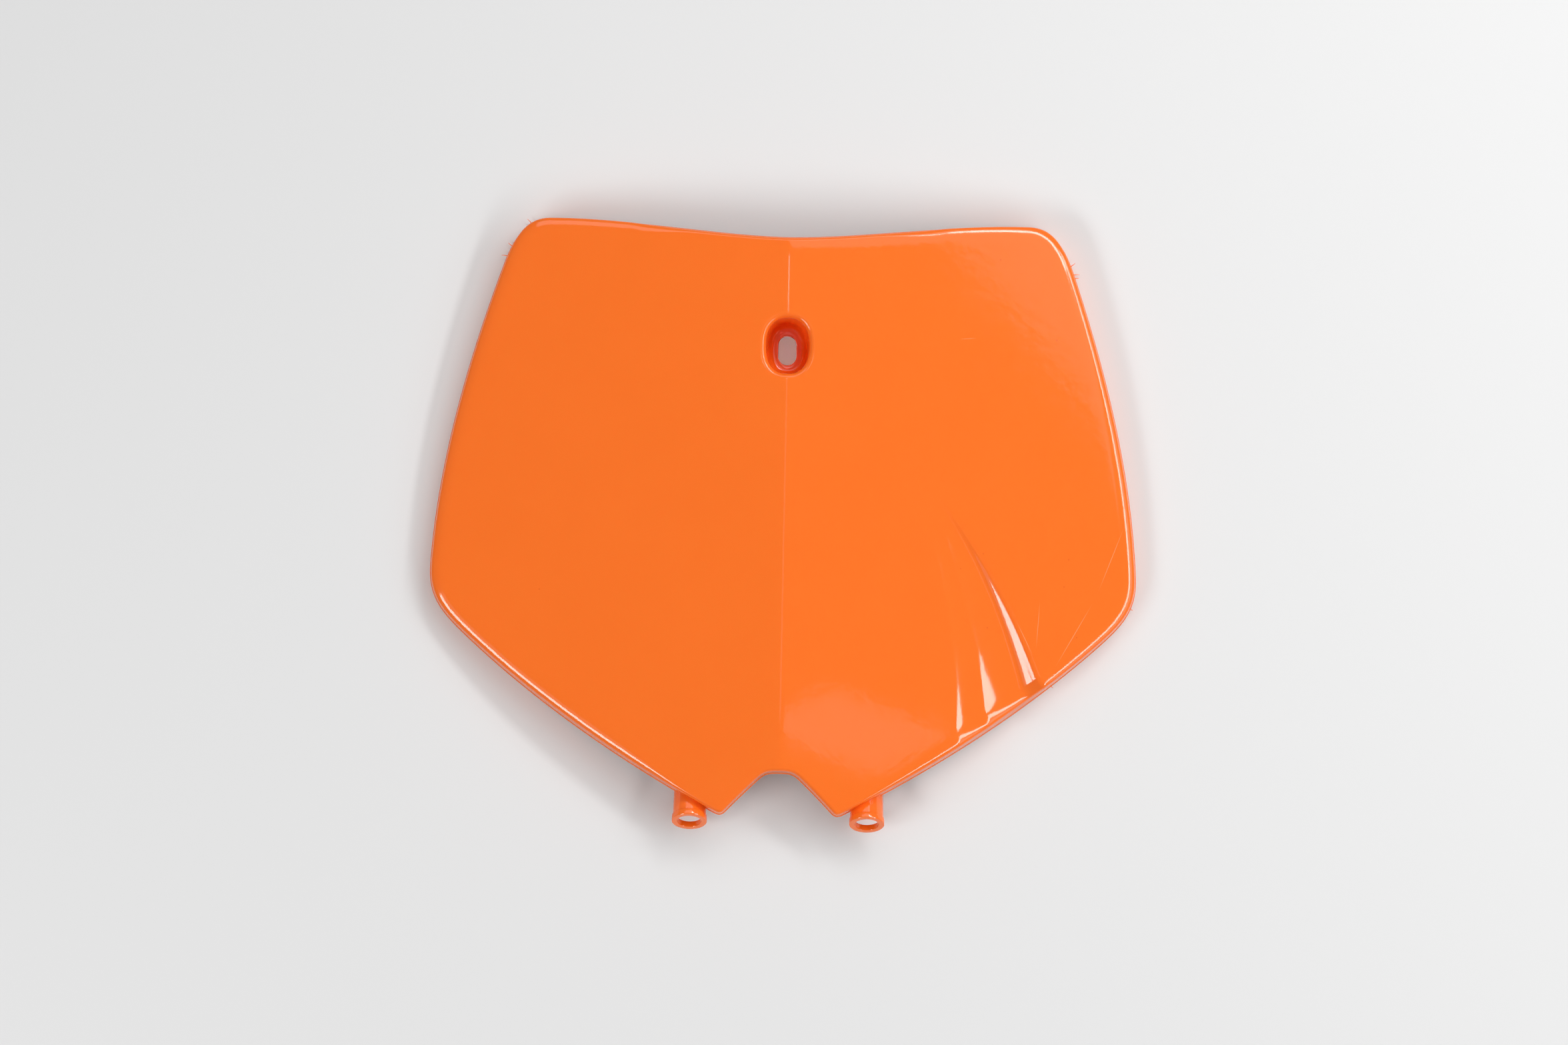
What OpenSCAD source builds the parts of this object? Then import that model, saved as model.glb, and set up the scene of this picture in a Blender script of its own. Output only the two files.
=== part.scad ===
// Racing number board: one moulded shell with a centre crease, a rolled edge,
// a bolt cup, two peg sockets under the legs and a hose channel in one wing.
// It lies face up, the crease along Y and the face towards +Z.

/* [Outline] */
// Width across the widest points
board_w = 248; // [238:1:258]
// Height from the leg tips to the top corners
board_h = 208.3; // [200:0.1:218]
// Height of the widest points above the leg tips
wing_h = 85.2; // [80:0.1:92]
// Width where the sides run into the top corners
top_w = 202; // [190:1:210]
// Width between the peaks of the top corners
peak_w = 168; // [160:1:174]
// Depth of the dip in the top edge
top_dip = 7; // [3:0.5:10]
// Height of a top corner
top_corner_h = 17.1; // [14:0.1:20]
// Width of the rounding at a widest point
wing_corner_w = 15; // [12:0.5:18]
// Height of the rounding at a widest point
wing_corner_h = 26.7; // [22:0.1:32]
// Distance between the two leg tips
leg_span = 41; // [38:0.5:46]
// Width of the rounding at a leg tip
leg_tip_w = 5.3; // [4.5:0.1:6.5]
// Height of the notch between the legs
notch_h = 14.6; // [12:0.1:19]
// Width of the rounded head of the notch
notch_head_w = 14; // [12:0.5:17]

/* [Face] */
// Height of the crease above the surface that the board lies on
crest_h = 23; // [22:0.5:26]
// How far the face falls back from the crease to the widest points
wing_fall = 15; // [12:0.5:16]
// The part of that fall that comes from the bow of the wings
wing_bow = 4.5; // [2:0.5:7]
// Bow of the face from top to bottom
long_bow = 1.5; // [0:0.1:3]
// How far the foot of the face turns back
foot_turn = 3; // [0:0.5:4]
// Height of the foot that turns back
foot_zone = 52; // [40:1:60]
// How far the top band turns back
top_turn = 0.8; // [0:0.1:1.5]
// Depth of the top band at the crease
top_zone = 7; // [5:0.5:10]
// Wall thickness
wall = 2.5; // [2:0.1:3]

/* [Edge] */
// Width of the rolled edge on the wings
roll_w = 5; // [4:0.5:6]
// Height of the rolled edge on the wings
roll_h = 1.5; // [1:0.1:2.5]
// Radius of the rolled edge at the legs and the middle of the top
foot_roll_r = 1.5; // [1:0.1:2]
// Draft of the flange, in degrees
draft = 7.5; // [5:0.5:10]
// Height of the rim's arch at the crease
rim_arch = 12; // [9:0.5:13]
// Half width at which the rim comes down to the surface
rest_x = 97; // [90:1:104]

/* [Bolt cup] */
// Height of the cup's centre above the leg tips
cup_h = 162.3; // [155:0.1:168]
// Width of the cup inside its lip
cup_w = 15; // [14:0.1:17]
// Length of the cup inside its lip
cup_len = 19.4; // [18:0.1:21]
// Depth of the cup under the crease
cup_depth = 16; // [12:0.5:18]
// Radius of the cup's lip
cup_lip_r = 1.8; // [1:0.1:2.2]
// Radius in the bottom of the cup
cup_floor_r = 3; // [1.5:0.1:3.5]
// Draft of the cup's wall, in degrees
cup_draft = 3; // [1:0.5:4]
// Width of the bolt slot
slot_w = 6.4; // [5.4:0.1:7]
// Length of the bolt slot
slot_len = 10.4; // [8:0.1:11.4]

/* [Peg sockets] */
// Distance between the socket axes
socket_span = 61.4; // [58:0.1:66]
// Distance of a mouth's centre below the leg tips
socket_drop = 2.6; // [1:0.1:4]
// Height of a mouth's centre above the surface that the board lies on
socket_z = 11.5; // [10.5:0.1:12.5]
// Forward lean of the socket axes, in degrees
socket_lean = 30; // [25:1:35]
// Bore of a socket
socket_bore = 8.2; // [7.4:0.1:8.8]
// Wall of the closed ring at the mouth
ring_wall = 2; // [1.8:0.1:2.4]
// Length of the closed ring at the mouth
ring_len = 2.2; // [2:0.1:3]
// Relief of the half barrel's inside, so that a peg bears on the ring alone
hood_relief = 0.2; // [0.1:0.05:0.4]
// Wall of the half barrel behind the ring
hood_wall = 1.45; // [1.2:0.05:1.6]
// Length of a socket along its axis
hood_len = 14; // [12:0.5:18]
// Thickness of the web that ties a half barrel to the face
web_t = 2.2; // [1.6:0.1:3]

/* [Hose channel] */
// Height of the channel's head above the leg tips
channel_h = 114; // [108:1:120]
// Distance of the channel's head from the crease
channel_x = 48; // [45:0.5:52]
// Place of the channel's near edge along the lower edge, as a share of that edge
channel_near = 0.45; // [0.42:0.01:0.48]
// Place of the ridge between the two flutes along the lower edge
channel_ridge = 0.57; // [0.55:0.01:0.61]
// Place of the channel's far edge along the lower edge
channel_far = 0.79; // [0.75:0.01:0.83]
// Depth of the near flute at the lower edge, which it reaches at the ridge
ridge_depth = 1.7; // [1:0.1:3]
// Depth of the far flute at the lower edge
floor_depth = 4; // [3.6:0.1:5]
// Place of the far flute's floor, as a share of its width from the ridge
floor_share = 0.65; // [0.55:0.05:0.75]

/* [Hidden] */
$fn = 64;

half_w = board_w / 2;
peak_x = peak_w / 2;
peg_x = socket_span / 2;
bore_r = socket_bore / 2;
ring_r = bore_r + ring_wall;
hood_bore_r = bore_r + hood_relief;
hood_r = hood_bore_r + hood_wall;
cut = 1;

// The lowest point of the part is the rear lip of the two rings.
low_y = -socket_drop - ring_r * sin(socket_lean);
shift_y = -(board_h + low_y) / 2;

function mix(a, b, t) = a + (b - a) * t;
function clamp01(t) = min(1, max(0, t));
function ease(t) = let (c = clamp01(t)) c * c * (3 - 2 * c);

// Right half of the outline, from the head of the notch round to the middle of the top:
// x, y, heading of the curve, and the lengths of the handles before and after the point
// as shares of the straight distance to the next point on that side.
notch_x = notch_head_w / 2;
notch_drop = 2.2;
leg_low_share = 0.43;
leg_x = leg_span / 2 - leg_low_share * leg_tip_w;
leg_y = 1.2;
KNOTS = [
    [0, notch_h, 0, 0, 0.48],
    [notch_x, notch_h - notch_drop, -43, 0.41, 0.28],
    [leg_x, leg_y, -47, 0.28, 0.49],
    [leg_x + leg_tip_w, leg_y, 27, 0.49, 0.33],
    [half_w - wing_corner_w, wing_h - wing_corner_h, 42, 0.33, 0.46],
    [half_w, wing_h, 93, 0.39, 0.33],
    [top_w / 2, board_h - top_corner_h, 109, 0.33, 0.46],
    [peak_x, board_h, 180, 0.38, 0.33],
    [0, board_h - top_dip, 180, 0.3, 0]
];

// A place on the outline is counted in its points, and these are the points' own places
NOTCH_SIDE = 1;
LOWER_EDGE = 3;
WING_CORNER = 4;
WING_TIP = 5;
TOP_CORNER = 6;
TOP_MIDDLE = len(KNOTS) - 1;

function heading(a) = [cos(a), sin(a)];
function xy(k) = [k[0], k[1]];
function bezier(a, b, t) =
    let (p = xy(a), s = xy(b), d = norm(s - p), u = 1 - t,
         q = p + a[4] * d * heading(a[2]), r = s - b[3] * d * heading(b[2]))
    u * u * u * p + 3 * u * u * t * q + 3 * u * t * t * r + t * t * t * s;
function outline(s) =
    let (k = min(floor(s), len(KNOTS) - 2)) bezier(KNOTS[k], KNOTS[k + 1], s - k);
function outward(s) =
    let (h = 0.01, lo = max(0, s - h), hi = min(TOP_MIDDLE, s + h), d = outline(hi) - outline(lo))
    [d[1], -d[0]] / norm(d);

// Height of the face above the surface that the board lies on, without the channel
mid_y = board_h / 2;
function top_edge_y(x) = board_h - top_dip * (1 - min(1, abs(x) / peak_x));

// The top band is a crescent: deepest at the crease, it runs out in the top corners
top_end_x = peak_x + 4;
top_power = 1.5;
thin_band = 0.01;
function top_band(x) = max(thin_band, 1 - pow(x / top_end_x, 2));
function face_z(x, y) =
    crest_h - (wing_fall - wing_bow) * abs(x) / half_w - wing_bow * pow(x / half_w, 2)
    - long_bow * pow((y - mid_y) / mid_y, 2)
    - foot_turn * pow(clamp01(1 - y / foot_zone), 2)
    - top_turn * top_band(x) * pow(clamp01(1 - (top_edge_y(x) - y) / (top_zone * top_band(x))), top_power);
function rim_z(x) = rim_arch * (1 + cos(180 * min(1, abs(x) / rest_x))) / 2;

// The section of the roll is a quarter of an ellipse, small and round at the legs, and wide
// and flat on the wings
roll_start_x = 30;
roll_full_x = 65;
function roll_fullness(x) = ease((abs(x) - roll_start_x) / (roll_full_x - roll_start_x));
function roll_w_at(x) = mix(foot_roll_r, roll_w, roll_fullness(x));
function roll_h_at(x) = mix(foot_roll_r, roll_h, roll_fullness(x));
function edge_depth(s) =
    let (p = outline(s), flange = face_z(p[0], p[1]) - rim_z(p[0]) - roll_h_at(p[0]))
    roll_w_at(p[0]) + flange * tan(draft);
function inset(s) = outline(s) - edge_depth(s) * outward(s);

// Columns run from the lower edge to the top edge, rows from side to side.
// Both are counted in steps, and the three folds of the channel are columns.
NOTCH_STEPS = 2;
LEG_STEPS = 6;
PLAIN_STEPS = 3;
NEAR_STEPS = 4;
FAR_STEPS = 6;
CORNER_STEPS = 4;
NEAR_COL = NOTCH_STEPS + LEG_STEPS + PLAIN_STEPS;
RIDGE_COL = NEAR_COL + NEAR_STEPS;
FAR_COL = RIDGE_COL + FAR_STEPS;
COLS = FAR_COL + CORNER_STEPS;
function steps(a, b, n) = [for (i = [1 : n]) mix(a, b, i / n)];

// Where each column starts on the outline, and where it ends
near_s = LOWER_EDGE + channel_near;
ridge_s = LOWER_EDGE + channel_ridge;
far_s = LOWER_EDGE + channel_far;
lower_corner_s = (WING_CORNER + WING_TIP) / 2;
upper_corner_s = TOP_CORNER + 0.5;
near_head_s = TOP_MIDDLE - 0.5;
far_head_s = TOP_MIDDLE - 0.72;
COLUMN_FOOT = concat([0], steps(0, NOTCH_SIDE, NOTCH_STEPS), steps(NOTCH_SIDE, LOWER_EDGE, LEG_STEPS),
    steps(LOWER_EDGE, near_s, PLAIN_STEPS), steps(near_s, ridge_s, NEAR_STEPS),
    steps(ridge_s, far_s, FAR_STEPS), steps(far_s, lower_corner_s, CORNER_STEPS));
COLUMN_HEAD = concat([TOP_MIDDLE], steps(TOP_MIDDLE, near_head_s, NEAR_COL),
    steps(near_head_s, far_head_s, FAR_COL - NEAR_COL), steps(far_head_s, upper_corner_s, CORNER_STEPS));

// Shares of the way up at which the rows lie, and where the rows end on the outline
HEAD_ROW = 12;
CUP_ROW0 = HEAD_ROW + 4;
CUP_ROW1 = CUP_ROW0 + 6;
ROWS = CUP_ROW1 + 3;
LOW_ROW = 2;

// The cup's hole spans these rows and the first columns on each side of the crease
CUP_COLS = 3;
cup_margin = 2;
cup_zone = cup_len / 2 + cup_lip_r + cup_margin;
foot_y = inset(0)[1];
head_y = inset(TOP_MIDDLE)[1];
function share_up(y) = (y - foot_y) / (head_y - foot_y);
head_v = share_up(channel_h);
cup_v0 = share_up(cup_h - cup_zone);
cup_v1 = share_up(cup_h + cup_zone);
ROW_V = concat([0], steps(0, head_v, HEAD_ROW), steps(head_v, cup_v0, CUP_ROW0 - HEAD_ROW),
    steps(cup_v0, cup_v1, CUP_ROW1 - CUP_ROW0), steps(cup_v1, 1, ROWS - CUP_ROW1));
ROW_END = concat([lower_corner_s], steps(lower_corner_s, WING_TIP, LOW_ROW),
    steps(WING_TIP, TOP_CORNER, CUP_ROW1 - LOW_ROW), steps(TOP_CORNER, upper_corner_s, ROWS - CUP_ROW1));

// The three fold lines close up at the channel's head, and each bows out on its way there
HEAD_OFFSET = [-4, 0, 3];
BOW = [[9, 4], [6, 5], [4, 5]];
function fold(k, col, v) =
    let (foot = inset(COLUMN_FOOT[col]), head = [channel_x + HEAD_OFFSET[k], channel_h],
         top = inset(COLUMN_HEAD[col]), mid = (foot + head) / 2 + BOW[k], t = clamp01(v / head_v), u = 1 - t)
    v <= head_v ? u * u * foot + 2 * u * t * mid + t * t * head
        : mix(head, top, (v - head_v) / (1 - head_v));
function crease_line(v) = [0, mix(foot_y, head_y, v)];
function side_line(j) = inset(ROW_END[j]);

// The guides that bound a patch of columns, at row j
function guide(g, j) =
    g == 0 ? crease_line(ROW_V[j]) :
    g == 1 ? fold(0, NEAR_COL, ROW_V[j]) :
    g == 2 ? fold(1, RIDGE_COL, ROW_V[j]) :
    g == 3 ? fold(2, FAR_COL, ROW_V[j]) : side_line(j);
GUIDE_COL = [0, NEAR_COL, RIDGE_COL, FAR_COL, COLS];

// Plan of the right half: each patch between two guides is a Coons patch
function plan_point(g, i, j) =
    let (c0 = GUIDE_COL[g], c1 = GUIDE_COL[g + 1], u = (i - c0) / (c1 - c0), v = ROW_V[j])
    mix(inset(COLUMN_FOOT[i]), inset(COLUMN_HEAD[i]), v) + mix(guide(g, j), guide(g + 1, j), u)
    - mix(mix(inset(COLUMN_FOOT[c0]), inset(COLUMN_HEAD[c0]), v),
          mix(inset(COLUMN_FOOT[c1]), inset(COLUMN_HEAD[c1]), v), u);
function patch_of(i) = i < NEAR_COL ? 0 : i < RIDGE_COL ? 1 : i < FAR_COL ? 2 : 3;
PLAN = [for (i = [0 : COLS]) [for (j = [0 : ROWS])
    i == 0 ? crease_line(ROW_V[j]) :
    j == 0 ? inset(COLUMN_FOOT[i]) :
    j == ROWS ? inset(COLUMN_HEAD[i]) :
    i == COLS ? side_line(j) : plan_point(patch_of(i), i, j)]];

// Depth of the channel, which fades towards its head. The near flute is steepest at its near
// fold. The far flute slopes down from the ridge to its floor and has a steep far wall.
fade_power = 1.4;
function near_depth(u) = ridge_depth * (1 - pow(1 - u, 2));
function far_depth(u) = u < floor_share
    ? floor_depth - (floor_depth - ridge_depth) * pow(1 - u / floor_share, 2)
    : floor_depth * cos(90 * (u - floor_share) / (1 - floor_share));
function channel_depth(i, j) =
    let (fade = pow(clamp01(1 - ROW_V[j] / head_v), fade_power))
    i <= NEAR_COL || i >= FAR_COL ? 0 :
    i <= RIDGE_COL ? fade * near_depth((i - NEAR_COL) / (RIDGE_COL - NEAR_COL)) :
    fade * far_depth((i - RIDGE_COL) / (FAR_COL - RIDGE_COL));

// Points of the whole face, from the left side to the right side
function mirrored(c, p) = [c < 0 ? -p[0] : p[0], p[1]];
function face_point(c, j, down) =
    let (p = mirrored(c, PLAN[abs(c)][j]), depth = c > 0 ? channel_depth(c, j) : 0)
    [p[0], p[1], face_z(p[0], p[1]) - depth - down];
function sheet(down) = [for (c = [-COLS : COLS]) for (j = [0 : ROWS]) face_point(c, j, down)];
function at(c, j) = (c + COLS) * (ROWS + 1) + j;

// The edge of the face, anticlockwise from the notch: column, row, place on the outline
EDGE = [
    for (i = [0 : COLS]) [i, 0, COLUMN_FOOT[i]],
    for (j = [1 : ROWS - 1]) [COLS, j, ROW_END[j]],
    for (i = [COLS : -1 : 0]) [i, ROWS, COLUMN_HEAD[i]],
    for (i = [1 : COLS]) [-i, ROWS, COLUMN_HEAD[i]],
    for (j = [ROWS - 1 : -1 : 1]) [-COLS, j, ROW_END[j]],
    for (i = [COLS : -1 : 1]) [-i, 0, COLUMN_FOOT[i]]
];
EDGE_COUNT = len(EDGE);
function edge_outline(e) = mirrored(e[0], outline(e[2]));
function edge_normal(e) = mirrored(e[0], outward(e[2]));
function along(p, n, d, z) = [p[0] + n[0] * d, p[1] + n[1] * d, z];

// Section of the edge: the ellipse leaves the face along its slope and ends at the flange's draft
ROLL_STEPS = 5;
function roll_ring(m) = [for (e = EDGE)
    let (p = face_point(e[0], e[1], 0), n = edge_normal(e), x = edge_outline(e)[0],
         slope = atan(face_z(p[0], p[1]) - face_z(p[0] + n[0], p[1] + n[1])),
         last = atan(roll_w_at(x) / roll_h_at(x) * tan(90 - draft - slope)), a = last * m / ROLL_STEPS,
         out = roll_w_at(x) * sin(a), fall = roll_h_at(x) * (1 - cos(a)))
    along(p, n, out * cos(slope) - fall * sin(slope), p[2] - out * sin(slope) - fall * cos(slope))];
function rim_ring(in) = [for (e = EDGE)
    let (o = edge_outline(e)) along(o, edge_normal(e), -in, rim_z(o[0]))];

// The inner side of the flange keeps the wall's thickness up to a chamfer under the face
flange_share = 0.85;
inner_chamfer = 0.7;
function inner_ring() = [for (e = EDGE)
    let (p = face_point(e[0], e[1], wall), o = edge_outline(e),
         rise = flange_share * (p[2] - rim_z(o[0])) - inner_chamfer,
         depth = min(wall + rise * tan(draft), edge_depth(e[2])))
    along(o, edge_normal(e), -depth, rim_z(o[0]) + rise)];

// The cup: rings from the hole in the face down to the cup's floor, inside and outside
CUP_EDGE = [
    for (c = [-CUP_COLS : CUP_COLS]) [c, CUP_ROW0],
    for (j = [CUP_ROW0 + 1 : CUP_ROW1 - 1]) [CUP_COLS, j],
    for (c = [CUP_COLS : -1 : -CUP_COLS]) [c, CUP_ROW1],
    for (j = [CUP_ROW1 - 1 : -1 : CUP_ROW0 + 1]) [-CUP_COLS, j]
];
CUP_COUNT = len(CUP_EDGE);
cup_floor_z = crest_h - cup_depth;
// Under 1, the power makes the cup's oval fuller than an ellipse
oval_power = 0.85;
function signed_power(v) = sign(v) * pow(abs(v), oval_power);
function cup_oval(e, out) =
    let (p = mirrored(e[0], PLAN[abs(e[0])][e[1]]), a = atan2((p[1] - cup_h) / cup_len, p[0] / cup_w))
    [(cup_w / 2 + out) * signed_power(cos(a)), cup_h + (cup_len / 2 + out) * signed_power(sin(a))];
function cup_face_ring(t, out, down) = [for (e = CUP_EDGE)
    let (p = mirrored(e[0], PLAN[abs(e[0])][e[1]]), q = mix(p, cup_oval(e, out), t))
    [q[0], q[1], face_z(q[0], q[1]) - down]];
function cup_ring(out, z) = [for (e = CUP_EDGE) let (q = cup_oval(e, out)) [q[0], q[1], z]];
function lip_ring(a) = [for (e = CUP_EDGE)
    let (q = cup_oval(e, cup_lip_r * (1 - sin(a))), f = cup_oval(e, cup_lip_r))
    [q[0], q[1], face_z(f[0], f[1]) - cup_lip_r * (1 - cos(a))]];
cup_taper = (cup_depth - cup_lip_r - cup_floor_r) * tan(cup_draft);
function cup_bottom_ring(a) =
    cup_ring(-cup_taper - cup_floor_r * (1 - cos(a)), cup_floor_z + cup_floor_r * (1 - sin(a)));

front = sheet(0);
back = sheet(wall);
edge_rings = [for (m = [1 : ROLL_STEPS]) roll_ring(m), rim_ring(0), rim_ring(wall), inner_ring()];
LIP_ANGLES = [35, 65, 90];
cup_in = [cup_face_ring(0.5, cup_lip_r, 0), cup_face_ring(1, cup_lip_r, 0),
    for (a = LIP_ANGLES) lip_ring(a), cup_bottom_ring(0), for (a = LIP_ANGLES) cup_bottom_ring(a)];
cup_out = [cup_face_ring(1, wall, wall),
    cup_ring(wall - cup_taper, cup_floor_z), cup_ring(wall - cup_taper - cup_floor_r / 2, cup_floor_z - wall)];
cup_poles = [[0, cup_h, cup_floor_z], [0, cup_h, cup_floor_z - wall]];

// Every point of the shell, and where each group of points starts
function flat(lists) = [for (l = lists) for (p = l) p];
back_start = len(front);
ring_start = back_start + len(back);
cup_in_start = ring_start + len(edge_rings) * EDGE_COUNT;
cup_out_start = cup_in_start + len(cup_in) * CUP_COUNT;
pole_start = cup_out_start + len(cup_out) * CUP_COUNT;
points = concat(front, back, flat(edge_rings), flat(cup_in), flat(cup_out), cup_poles);

// Loops of point numbers, from the face round the edge to the back, and into the cup
function count_from(start, n) = [for (k = [0 : n - 1]) start + k];
edge_loops = [
    [for (e = EDGE) at(e[0], e[1])],
    for (m = [0 : len(edge_rings) - 1]) count_from(ring_start + m * EDGE_COUNT, EDGE_COUNT),
    [for (e = EDGE) back_start + at(e[0], e[1])]
];
cup_in_loops = [
    [for (e = CUP_EDGE) at(e[0], e[1])],
    for (m = [0 : len(cup_in) - 1]) count_from(cup_in_start + m * CUP_COUNT, CUP_COUNT)
];
cup_out_loops = [
    [for (e = CUP_EDGE) back_start + at(e[0], e[1])],
    for (m = [0 : len(cup_out) - 1]) count_from(cup_out_start + m * CUP_COUNT, CUP_COUNT)
];

// Two triangles for a quad whose corners run anticlockwise as seen from outside
function quad(a, b, c, d) = [[a, c, b], [a, d, c]];
function skirt(inner, outer) = [for (k = [0 : len(inner) - 1])
    let (n = (k + 1) % len(inner)) each quad(inner[k], outer[k], outer[n], inner[n])];
function in_cup(c, j) = c >= -CUP_COLS && c < CUP_COLS && j >= CUP_ROW0 && j < CUP_ROW1;
function cells(start, up) = [for (c = [-COLS : COLS - 1]) for (j = [0 : ROWS - 1]) if (!in_cup(c, j))
    let (a = start + at(c, j), b = start + at(c + 1, j), d = start + at(c, j + 1), e = start + at(c + 1, j + 1))
    each up ? quad(a, b, e, d) : quad(a, d, e, b)];
function fan(loop, pole, up) = [for (k = [0 : len(loop) - 1])
    let (n = (k + 1) % len(loop)) up ? [loop[n], loop[k], pole] : [loop[k], loop[n], pole]];
faces = concat(
    cells(0, true),
    cells(back_start, false),
    [for (m = [0 : len(edge_loops) - 2]) each skirt(edge_loops[m], edge_loops[m + 1])],
    [for (m = [0 : len(cup_in_loops) - 2]) each skirt(cup_in_loops[m + 1], cup_in_loops[m])],
    [for (m = [0 : len(cup_out_loops) - 2]) each skirt(cup_out_loops[m], cup_out_loops[m + 1])],
    fan(cup_in_loops[len(cup_in_loops) - 1], pole_start, true),
    fan(cup_out_loops[len(cup_out_loops) - 1], pole_start + 1, false)
);

// The moulded shell with its rolled edge and its cup
module shell() {
    polyhedron(points, faces, convexity = 8);
}

// The bolt slot: two round ends and the straight between them
module slot() {
    end_y = (slot_len - slot_w) / 2;
    slot_h = wall + 2 * cut;
    translate([0, cup_h, cup_floor_z - wall - cut]) {
        for (s = [-1, 1]) translate([0, s * end_y, 0]) cylinder(d = slot_w, h = slot_h);
        translate([-slot_w / 2, -end_y, 0]) cube([slot_w, 2 * end_y, slot_h]);
    }
}

// Frame of a socket: the axis runs up from the mouth, and +Y is its open rear side
module socket_place(side) {
    translate([side * peg_x, -socket_drop, socket_z]) rotate([-90 - socket_lean, 0, 0]) children();
}

module socket_body() {
    cylinder(r = ring_r, h = ring_len);
    difference() {
        cylinder(r = hood_r, h = hood_len);
        translate([-ring_r, 0, ring_len]) cube([2 * ring_r, ring_r, hood_len]);
    }
}

module socket_bore() {
    translate([0, 0, -cut]) cylinder(r = bore_r, h = ring_len + 2 * cut);
    translate([0, 0, ring_len]) cylinder(r = hood_bore_r, h = hood_len);
}

// Web between a half barrel and the face, in the plane of the socket's axis.
// It starts at the edge of the face and ends just short of the barrel's end.
module socket_web(side) {
    web_start_s = LOWER_EDGE + 0.1;
    web_back = 1;
    slope = tan(socket_lean);
    barrel_z = socket_z + (hood_bore_r + hood_wall / 2) / cos(socket_lean);
    web_y0 = inset(web_start_s)[1];
    web_y1 = (hood_len - web_back) * cos(socket_lean) - socket_drop;
    face_mid = wall / 2;
    translate([side * peg_x - web_t / 2, 0, 0]) rotate([90, 0, 90]) linear_extrude(web_t) polygon([
        [web_y0, barrel_z - (web_y0 + socket_drop) * slope],
        [web_y1, barrel_z - (web_y1 + socket_drop) * slope],
        [web_y1, face_z(peg_x, web_y1) - face_mid],
        [web_y0, face_z(peg_x, web_y0) - face_mid]
    ]);
}

module number_board() {
    color("orangered") translate([0, shift_y, 0]) difference() {
        union() {
            shell();
            for (side = [-1, 1]) {
                socket_place(side) socket_body();
                socket_web(side);
            }
        }
        slot();
        for (side = [-1, 1]) socket_place(side) socket_bore();
    }
}

number_board();
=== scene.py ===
import math

import bmesh
import bpy
import numpy as np
from mathutils import Matrix, Vector


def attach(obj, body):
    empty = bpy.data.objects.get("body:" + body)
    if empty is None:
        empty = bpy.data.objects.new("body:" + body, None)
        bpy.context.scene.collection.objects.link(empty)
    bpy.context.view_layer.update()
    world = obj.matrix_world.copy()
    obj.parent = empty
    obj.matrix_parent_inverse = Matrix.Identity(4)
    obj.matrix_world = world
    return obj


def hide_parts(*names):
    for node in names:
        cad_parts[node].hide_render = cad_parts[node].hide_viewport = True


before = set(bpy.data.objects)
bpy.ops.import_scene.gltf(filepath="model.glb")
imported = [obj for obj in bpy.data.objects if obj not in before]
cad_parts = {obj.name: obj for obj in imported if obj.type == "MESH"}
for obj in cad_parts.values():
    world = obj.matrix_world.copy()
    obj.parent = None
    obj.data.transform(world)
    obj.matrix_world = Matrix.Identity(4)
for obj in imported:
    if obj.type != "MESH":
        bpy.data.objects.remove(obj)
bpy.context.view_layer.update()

# All sizes are in millimetres, in the frame of the part's source: X across, Y up the board
# from the leg tips, Z out of the face. place() brings them to the shared frame in metres.
MM = 0.001

# Outline: overall sizes, how far each corner reaches along its sides, the legs and the notch
BOARD_W = 248.0
BOARD_H = 208.3
WING_H = 85.2
TOP_W = 202.0
PEAK_W = 168.0
TOP_DIP = 7.0
TOP_CORNER_H = 17.1
WING_CORNER_W = 15.0
WING_CORNER_H = 26.7
LEG_SPAN = 41.0
LEG_TIP_W = 5.3
LEG_LOW_SHARE = 0.43
LEG_Y = 1.2
NOTCH_H = 14.6
NOTCH_HEAD_W = 14.0
NOTCH_DROP = 2.2

# Face: height of the crest, fall and bow of the wings, bow and turned-down ends of the
# crest's line, wall thickness and radius of the crease
CREST_H = 23.0
WING_FALL = 15.0
WING_BOW = 4.5
LONG_BOW = 1.5
FOOT_TURN = 3.0
FOOT_ZONE = 52.0
TOP_TURN = 0.8
TOP_ZONE = 7.0
TOP_END_X = 88.0
TOP_POWER = 1.5
WALL = 2.5
CREASE_R = 0.7

# Edge: the roll, which is an ellipse and smaller at the foot, the flange's draft, the arch
# and radius of the rim, the parting line and the flange's inner side
ROLL_W = 5.0
ROLL_H = 1.5
FOOT_ROLL_R = 1.5
ROLL_START_X = 30.0
ROLL_FULL_X = 65.0
ROLL_RINGS = 12
DRAFT = 7.5
RIM_ARCH = 12.0
REST_X = 97.0
RIM_R = 0.35
PARTING_H = 1.3
PARTING_STEP = 0.18
PARTING_BEVEL = 0.15
FLANGE_SHARE = 0.85
INNER_CHAMFER = 0.7

# Bolt cup
CUP_H = 162.3
CUP_W = 15.0
CUP_LEN = 19.4
CUP_DEPTH = 16.0
CUP_LIP_R = 1.8
CUP_FLOOR_R = 3.0
CUP_DRAFT = 3.0
CUP_POWER = 0.85
CUP_MARGIN = 2.0
SLOT_W = 6.4
SLOT_LEN = 10.4
SLOT_EDGE_R = 0.3

# Peg sockets: a ring at the mouth, a half barrel or hood behind it, and a web to the face.
# The bore's cutter has some play, so that it leaves the ring's own wall as it is.
SOCKET_SPAN = 61.4
SOCKET_DROP = 2.6
SOCKET_Z = 11.5
SOCKET_LEAN = 30.0
BORE_R = 4.1
RING_WALL = 2.0
RING_LEN = 2.2
HOOD_RELIEF = 0.2
HOOD_WALL = 1.45
HOOD_LEN = 14.0
WEB_T = 2.2
WEB_BACK = 1.0
RING_EDGE_R = 0.35
HOOD_EDGE_R = 0.2
BORE_PLAY = 0.01

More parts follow.
